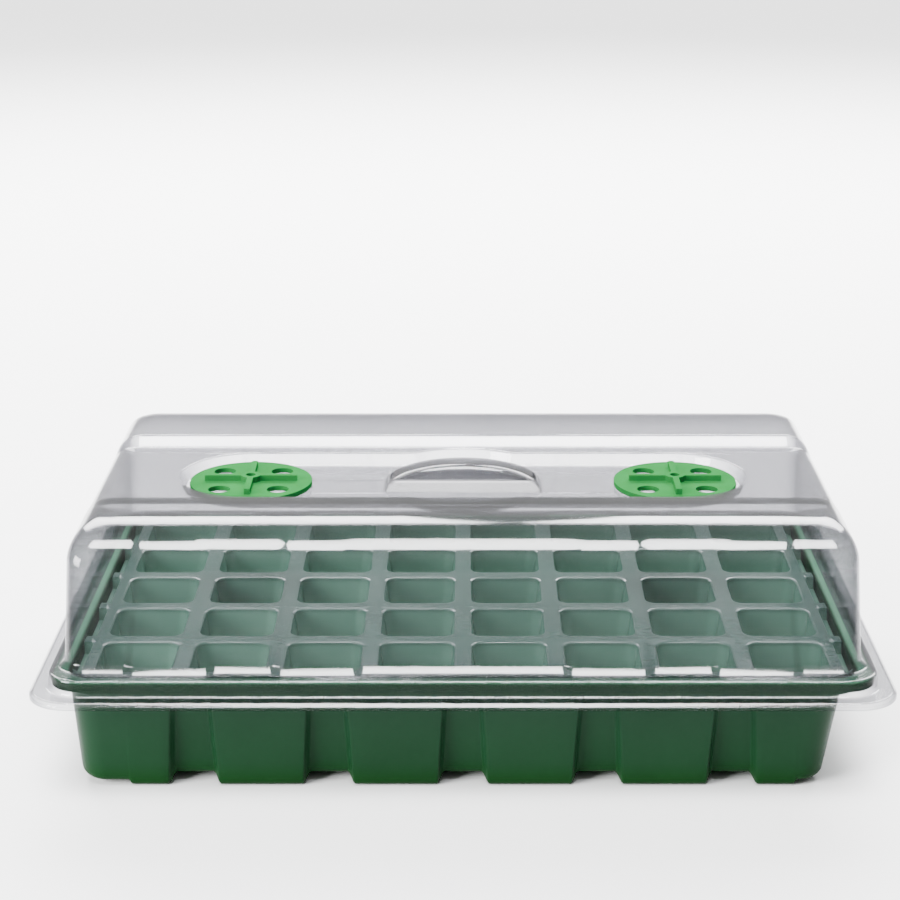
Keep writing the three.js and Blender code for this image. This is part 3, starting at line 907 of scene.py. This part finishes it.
class DomeRows:
    """The dome's outside from its flange to its top, as rows that all have the same places."""

    steps = 10

    def __init__(self):
        slope_rows = VALLEY_HALF + VALLEY_EDGE * (BEVEL_STEPS - 0.5)
        self.valley_ys = np.concatenate([-slope_rows[::-1], slope_rows])
        ends = 66 * MM
        self.ys = filled(np.concatenate([[-ends], self.valley_ys, [ends]]), 16 * MM)
        self.foot_edges = np.sort(edges_of(PILASTERS, pilaster_half(0.0)))
        self.foot_xs = filled(around(self.foot_edges, PILASTER_EDGE, 5), 14 * MM)
        self.back_start = len(self.foot_xs) + self.steps + 1 + len(self.ys)
        self.back_end = self.back_start + len(self.foot_xs) + 2 * (self.steps + 1)
        self.rows = []

    def xs_at(self, height):
        """The foot's places, moved with the edges of the pilasters."""
        edges = np.sort(edges_of(PILASTERS, pilaster_half(height)))
        before = np.minimum(self.foot_xs - self.foot_edges[0], 0)
        after = np.maximum(self.foot_xs - self.foot_edges[-1], 0)
        return np.interp(self.foot_xs, self.foot_edges, edges) + (before + after)

    def row(self, x, half_y, corner, z, height=0.0, relief=0.0, valley=0.0, back=0.0):
        """One row at z. relief and valley are the shares of the pilasters and of the valley in
        it, and back is how far its back lies behind half_y."""
        points, facing = ring(-x, x, half_y, corner, self.xs_at(height), self.ys, self.steps)
        heights = np.array(np.broadcast_to(z, len(points)), dtype=float)
        if relief > 0:
            front = np.abs(facing[:, 1]) > SQUARE_ON
            raised = bands(points[:, 0], PILASTERS, pilaster_half(height), PILASTER_EDGE)
            points = points + facing * (PILASTER_RELIEF * relief * raised * front)[:, None]
        points[self.back_start : self.back_end, 1] += back
        end = np.abs(facing[:, 0]) > SQUARE_ON
        out = (np.abs(points[:, 1]) - VALLEY_HALF) / VALLEY_EDGE + 0.5
        heights -= VALLEY_DROP * valley * ((1 - bevelled(out)) * end)
        self.rows.append(lifted(points, heights))

    def flange_and_ledge(self):
        """A turned-down lip, a level face, the skirt and the ledge on the tray's rim."""
        flange_z = FLANGE_Z + FLANGE_LIP
        self.row(FLANGE_X, FLANGE_Y, FLANGE_CORNER, FLANGE_Z)
        for share_out, share_up in CHAMFER:
            inset = FLANGE_BEND * share_up
            z = flange_z - FLANGE_BEND * share_out
            self.row(FLANGE_X - inset, FLANGE_Y - inset, FLANGE_CORNER - inset, z)
        skirt_x = RIM_X + SKIRT_GAP
        skirt_y = RIM_Y + SKIRT_GAP
        for angle in np.radians(span(90, 0, 4)):
            out = SKIRT_FILLET * (1 - math.cos(angle))
            z = flange_z + SKIRT_FILLET * (1 - math.sin(angle))
            self.row(skirt_x + out, skirt_y + out, SKIRT_CORNER + out, z)
        for angle in np.radians(span(0, 90, 5)):
            inset = LEDGE_FILLET * (1 - math.cos(angle))
            z = LEDGE_Z - LEDGE_FILLET * (1 - math.sin(angle))
            self.row(skirt_x - inset, skirt_y - inset, SKIRT_CORNER - inset, z)

    def walls_and_shoulders(self):
        foot_x, foot_y = WALL_FOOT
        top_x, top_y = WALL_TOP
        for share_out, share_up in CHAMFER:
            out = WALL_FOOT_FILLET * share_out
            z = LEDGE_Z + WALL_FOOT_FILLET * share_up
            self.row(foot_x + out, foot_y + out, WALL_CORNER + out, z, 0.0, 1.0)
        foot_z = LEDGE_Z + WALL_FOOT_FILLET
        _, facing = ring(-foot_x, foot_x, foot_y, WALL_CORNER, self.foot_xs, self.ys, self.steps)
        rises = SHOULDER_RISE_Y + (SHOULDER_RISE_X - SHOULDER_RISE_Y) * np.abs(facing[:, 0]) ** 2
        for share in span(0, 1, 9)[1:]:
            x = foot_x + (top_x - foot_x) * share
            y = foot_y + (top_y - foot_y) * share
            corner = WALL_CORNER - WALL_CORNER_LOSS * share
            z = foot_z + (DOME_TOP_Z - rises - foot_z) * share
            self.row(x, y, corner, z, share, 1 - PILASTER_FADE * share)
        for angle in np.radians(span(0, 90, 15))[1:]:
            inset = 1 - math.cos(angle)
            x = top_x - SHOULDER_X * inset
            y = top_y - SHOULDER_Y * inset
            corner = WALL_CORNER - WALL_CORNER_LOSS - SHOULDER_CORNER_LOSS * inset
            z = DOME_TOP_Z - rises * (1 - math.sin(angle))
            gone = smooth((math.degrees(angle) - PILASTER_END) / PILASTER_END_RUN)
            relief = (1 - PILASTER_FADE) * (1 - gone)
            back = (SHOULDER_Y - SHOULDER_BACK) * inset
            self.row(x, y, corner, z, 1.0, relief, math.sin(angle) ** 2, back)


def humps_and_valley(skin, outside, last):
    """The level humps in front and behind and the slopes down to the valley between them.
    Gives the outline of the valley's floor."""
    parts = parts_of_ring(last, outside.foot_xs, outside.ys, outside.steps)
    front, front_right, right, back_right, back, back_left, left, front_left = parts
    left = left[::-1]
    row_xs = span(-150, 150, 9) * MM
    crossings = {}
    for j, y in enumerate(outside.ys):
        if np.min(np.abs(outside.valley_ys - y)) < 1e-7:
            z = outside.rows[-1][right[j] - last[0]][2]
            inner = skin.add(lifted(np.column_stack([row_xs, np.full(len(row_xs), y)]), z))
            crossings[j] = np.concatenate([[left[j]], inner, [right[j]]])
    order = sorted(crossings)
    half = len(order) // 2
    for group in (order[:half], order[half:]):
        for a, b in zip(group[:-1], group[1:]):
            skin.strip(crossings[a], crossings[b], False)
    front_edge, valley_front = order[0], order[half - 1]
    valley_back, back_edge = order[half], order[-1]
    before = left[:front_edge][::-1]
    around_front = [front_left, front, front_right, right[:front_edge]]
    skin.flat(np.concatenate([crossings[front_edge][::-1], before, *around_front]))
    behind = left[back_edge + 1 :][::-1]
    around_back = [right[back_edge + 1 :], back_right, back, back_left, behind]
    skin.flat(np.concatenate([crossings[back_edge], *around_back]))
    return np.concatenate(
        [
            crossings[valley_front],
            right[valley_front + 1 : valley_back],
            crossings[valley_back][::-1],
            left[valley_front + 1 : valley_back][::-1],
        ]
    )


def recess_slope(skin):
    """The sides of the recess, from the valley down. Gives their first and last rows."""
    valley_z = DOME_TOP_Z - VALLEY_DROP
    rows = []
    for share in span(0, 1, 8):
        offset = RECESS_SLOPE * (0.5 - share)
        z = valley_z + (RECESS_FLOOR_Z - valley_z) * float(smooth(share))
        rows.append(skin.add(lifted(recess_outline(offset), z)))
    for outer, inner in zip(rows[:-1], rows[1:]):
        skin.strip(outer, inner, True)
    return rows[0], rows[-1]


def finger_handle(skin):
    """An arch: flat along its top, a round edge, then a steep face. Gives its outline."""
    arch = span(-math.pi / 2, math.pi / 2, 33)
    xs = HANDLE_X * np.sin(arch)
    rises = HANDLE_RISE * np.cos(arch)
    turns = np.radians(span(0, 78, 9))
    edge = HANDLE_EDGE * np.sin(turns)
    half_across = np.concatenate([[0.0, HANDLE_HEAD / 2], HANDLE_HEAD + edge, [HANDLE_FOOT]])
    drop = HANDLE_EDGE / HANDLE_RISE * (1 - np.cos(turns))
    half_profile = np.concatenate([[1.0, 1.0], 1 - drop, [0.0]])
    across = np.concatenate([-half_across[:0:-1], half_across])
    profile = np.concatenate([half_profile[:0:-1], half_profile])
    rows = []
    for y, share in zip(across, profile):
        points = np.column_stack([xs, np.full(len(xs), y)])
        rows.append(skin.add(lifted(points, RECESS_FLOOR_Z + rises * share)))
    for lower, upper in zip(rows[:-1], rows[1:]):
        skin.strip(lower, upper, False)
    right = [row[-1] for row in rows[1:-1]]
    left = [row[0] for row in rows[1:-1]]
    return np.concatenate([rows[0], right, rows[-1][::-1], left[::-1]]).astype(int)


def vent_openings(skin):
    """The outlines of the holes under each vent: one for its stem, and four for the air."""
    outlines = []
    for middle in (VENT_X, -VENT_X):
        spots = [(0.0, 0.0, STEM_HOLE_R)]
        for dx in (-HOLE_OFFSET, HOLE_OFFSET):
            for dy in (-HOLE_OFFSET, HOLE_OFFSET):
                spots.append((dx, dy, HOLE_R))
        for dx, dy, radius in spots:
            outline = circle(middle + dx, dy, radius, 24)
            outlines.append(skin.add(lifted(outline, RECESS_FLOOR_Z)))
    return outlines


def dome():
    skin = Skin()
    outside = DomeRows()
    outside.flange_and_ledge()
    outside.walls_and_shoulders()
    numbers = [skin.add(row) for row in outside.rows]
    for lower, upper in zip(numbers[:-1], numbers[1:]):
        skin.strip(lower, upper, True)
    valley = humps_and_valley(skin, outside, numbers[-1])
    recess_top, recess_floor = recess_slope(skin)
    skin.flat(valley, [recess_top])
    handle = finger_handle(skin)
    skin.flat(recess_floor, [handle, *vent_openings(skin)])

    points, faces = skin.welded()
    points, faces = thickened(points, faces, DOME_WALL)
    piece = mesh_object("dome_shell", points, faces, CLEAR)
    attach(piece, "lid")
    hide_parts(*DOME_NODES)


dome()

# ---------- vents ----------

CROSS_RISE = 3 * MM
CROSS_ARM = 23 * MM
CROSS_HALF = 1.5 * MM
DISC_THICKNESS = 2.5 * MM
HUB_R = 5 * MM
BORE_R = 2.4 * MM
STEM_R = 4 * MM
SNAP_R = 5.4 * MM
SNAP_TIP_R = 4.6 * MM
SNAP_HEIGHT = 1.6 * MM
VENT_HOLE_R = HOLE_R * 1.08
WORN_EDGE = 0.35 * MM
VENT_TOP_Z = vent_high.z - CROSS_RISE
VENT_UNDER_Z = VENT_TOP_Z - DISC_THICKNESS
VENT_LOW_Z = vent_low.z


def cross_outline():
    """The outline of the cross and its hub, counter-clockwise."""
    reach = math.sqrt(HUB_R**2 - CROSS_HALF**2)
    start = math.atan2(CROSS_HALF, reach)
    cross = []
    for quarter in range(4):
        turn = quarter * math.pi / 2
        local = [(CROSS_ARM, -CROSS_HALF), (CROSS_ARM, CROSS_HALF), (reach, CROSS_HALF)]
        for angle in span(start, math.pi / 2 - start, 7)[1:-1]:
            local.append((HUB_R * math.cos(angle), HUB_R * math.sin(angle)))
        local.append((CROSS_HALF, reach))
        for x, y in local:
            turned_x = x * math.cos(turn) - y * math.sin(turn)
            turned_y = x * math.sin(turn) + y * math.cos(turn)
            cross.append((turned_x, turned_y))
    return np.array(cross)


def vent(name, node, body, x):
    """A disc with four holes, a raised cross and a hollow hub and stem, made from its outlines."""
    skin = Skin()
    cross = cross_outline()
    disc = circle(0, 0, VENT_R, 72)
    bore = circle(0, 0, BORE_R, 24)
    stem = circle(0, 0, STEM_R, 24)

    def loop(outline, z):
        return skin.add(lifted(outline, z))

    cross_low = loop(cross, VENT_TOP_Z)
    cross_high = loop(cross, vent_high.z)
    bore_high = loop(bore, vent_high.z)
    disc_top = loop(disc, VENT_TOP_Z)
    disc_under = loop(disc, VENT_UNDER_Z)
    holes_top = []
    holes_under = []
    for dx in (-HOLE_OFFSET, HOLE_OFFSET):
        for dy in (-HOLE_OFFSET, HOLE_OFFSET):
            outline = circle(dx, dy, VENT_HOLE_R, 28)
            holes_top.append(loop(outline, VENT_TOP_Z))
            holes_under.append(loop(outline, VENT_UNDER_Z))
    skin.flat(cross_high, [bore_high])
    skin.strip(cross_low, cross_high, True)
    skin.flat(disc_top, [cross_low, *holes_top])
    skin.strip(disc_under, disc_top, True)
    for top, under in zip(holes_top, holes_under):
        skin.strip(top, under, True)

    # the stem with its snap, and the bore up through it
    snap_top = VENT_LOW_Z + SNAP_HEIGHT
    stem_high = loop(stem, VENT_UNDER_Z)
    stem_low = loop(stem, snap_top)
    snap_high = loop(circle(0, 0, SNAP_R, 24), snap_top)
    snap_low = loop(circle(0, 0, SNAP_TIP_R, 24), VENT_LOW_Z)
    bore_low = loop(bore, VENT_LOW_Z)
    before = len(skin.faces)
    skin.flat(disc_under, [stem_high, *holes_under])
    skin.faces[before:] = [tuple(reversed(f)) for f in skin.faces[before:]]
    for lower, upper in (
        (stem_low, stem_high),
        (snap_high, stem_low),
        (snap_low, snap_high),
        (bore_low, snap_low),
        (bore_high, bore_low),
    ):
        skin.strip(lower, upper, True)

    points, faces = skin.welded()
    points = points + np.array([x, 0, 0])
    piece = mesh_object(name, points, faces, VENT, crease=30)
    soft = piece.modifiers.new("worn edges", "BEVEL")
    soft.width = WORN_EDGE
    soft.segments = 2
    soft.limit_method = "ANGLE"
    soft.angle_limit = math.radians(40)
    piece.modifiers.move(1, 0)
    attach(piece, body)
    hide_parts(node)


vent("left_vent_disc", "vent_left", "left_vent", VENT_X)
vent("right_vent_disc", "vent_right", "right_vent", -VENT_X)

# ---------- stage, light and camera ----------


def floor():
    size = 6.0
    mesh = bpy.data.meshes.new("floor")
    corners = [(-size, -size, 0), (size, -size, 0), (size, size, 0), (-size, size, 0)]
    mesh.from_pydata(corners, [], [(0, 1, 2, 3)])
    ground = bpy.data.objects.new("floor", mesh)
    bpy.context.scene.collection.objects.link(ground)
    material = bpy.data.materials.new("floor")
    material.use_nodes = True
    shader = material.node_tree.nodes["Principled BSDF"]
    shader.inputs["Base Color"].default_value = (0.93, 0.93, 0.93, 1)
    shader.inputs["Roughness"].default_value = 0.9
    shader.inputs["Specular IOR Level"].default_value = 0.1
    mesh.materials.append(material)


def softbox(name, place, target, width, height, power):
    light = bpy.data.lights.new(name, "AREA")
    light.shape = "RECTANGLE"
    light.size = width
    light.size_y = height
    light.energy = power
    lamp = bpy.data.objects.new(name, light)
    lamp.location = place
    aim = Vector(target) - Vector(place)
    lamp.rotation_euler = aim.to_track_quat("-Z", "Y").to_euler()
    bpy.context.scene.collection.objects.link(lamp)


def sun(name, azimuth, elevation, width, strength):
    """A far round softbox: azimuth from -Y (the front) towards +X, all in degrees."""
    light = bpy.data.lights.new(name, "SUN")
    light.angle = math.radians(width)
    light.energy = strength
    lamp = bpy.data.objects.new(name, light)
    turn = math.radians(azimuth)
    rise = math.radians(elevation)
    out = Vector((math.sin(turn) * math.cos(rise), -math.cos(turn) * math.cos(rise), math.sin(rise)))
    lamp.rotation_euler = (-out).to_track_quat("-Z", "Y").to_euler()
    bpy.context.scene.collection.objects.link(lamp)


def sky(strength):
    """Brighter overhead than at the horizon, and brightest behind."""
    world = bpy.data.worlds.new("studio")
    world.use_nodes = True
    nodes = world.node_tree.nodes
    links = world.node_tree.links
    shade = nodes["Background"]
    shade.inputs["Strength"].default_value = strength
    rise = nodes.new("ShaderNodeSeparateXYZ")
    links.new(nodes.new("ShaderNodeTexCoord").outputs["Generated"], rise.inputs["Vector"])
    above = ramp(nodes, links, rise.outputs["Z"], [(0.3, (0.25,) * 3), (0.75, (1.0,) * 3)])
    behind = ramp(nodes, links, rise.outputs["Y"], [(0.35, (0.0,) * 3), (0.8, (1.0,) * 3)])
    links.new(mixed(nodes, links, behind, above, (2.0, 2.0, 2.0)), shade.inputs["Color"])
    bpy.context.scene.world = world


CAMERA_PLACE = (0, -1.0378, 0.4534)
CAMERA_DOWN = 17.2  # degrees below level
LENS_MM = 87.2
SENSOR_MM = 36
SHIFT_LEFT = 0.0144


def camera():
    """Long lens, a little above the propagator, square on to its front."""
    eye = bpy.data.cameras.new("camera")
    eye.sensor_width = SENSOR_MM
    eye.lens = LENS_MM
    eye.shift_x = -SHIFT_LEFT
    eye.dof.use_dof = False
    stand = bpy.data.objects.new("camera", eye)
    stand.location = CAMERA_PLACE
    stand.rotation_euler = (math.radians(90 - CAMERA_DOWN), 0, 0)
    bpy.context.scene.collection.objects.link(stand)
    bpy.context.scene.camera = stand


floor()
sky(0.5)
sun("overhead", azimuth=0, elevation=78, width=28, strength=8)
softbox("behind_left", (-0.62, 1.7, 1.45), (-0.15, 0, 0.1), width=1.25, height=0.85, power=120)
softbox("behind_right", (0.74, 1.7, 1.45), (0.15, 0, 0.1), width=1.2, height=0.85, power=120)
softbox("left_front", (-1.5, -1.1, 0.7), (0, 0, 0.05), width=0.9, height=0.9, power=105)
camera()
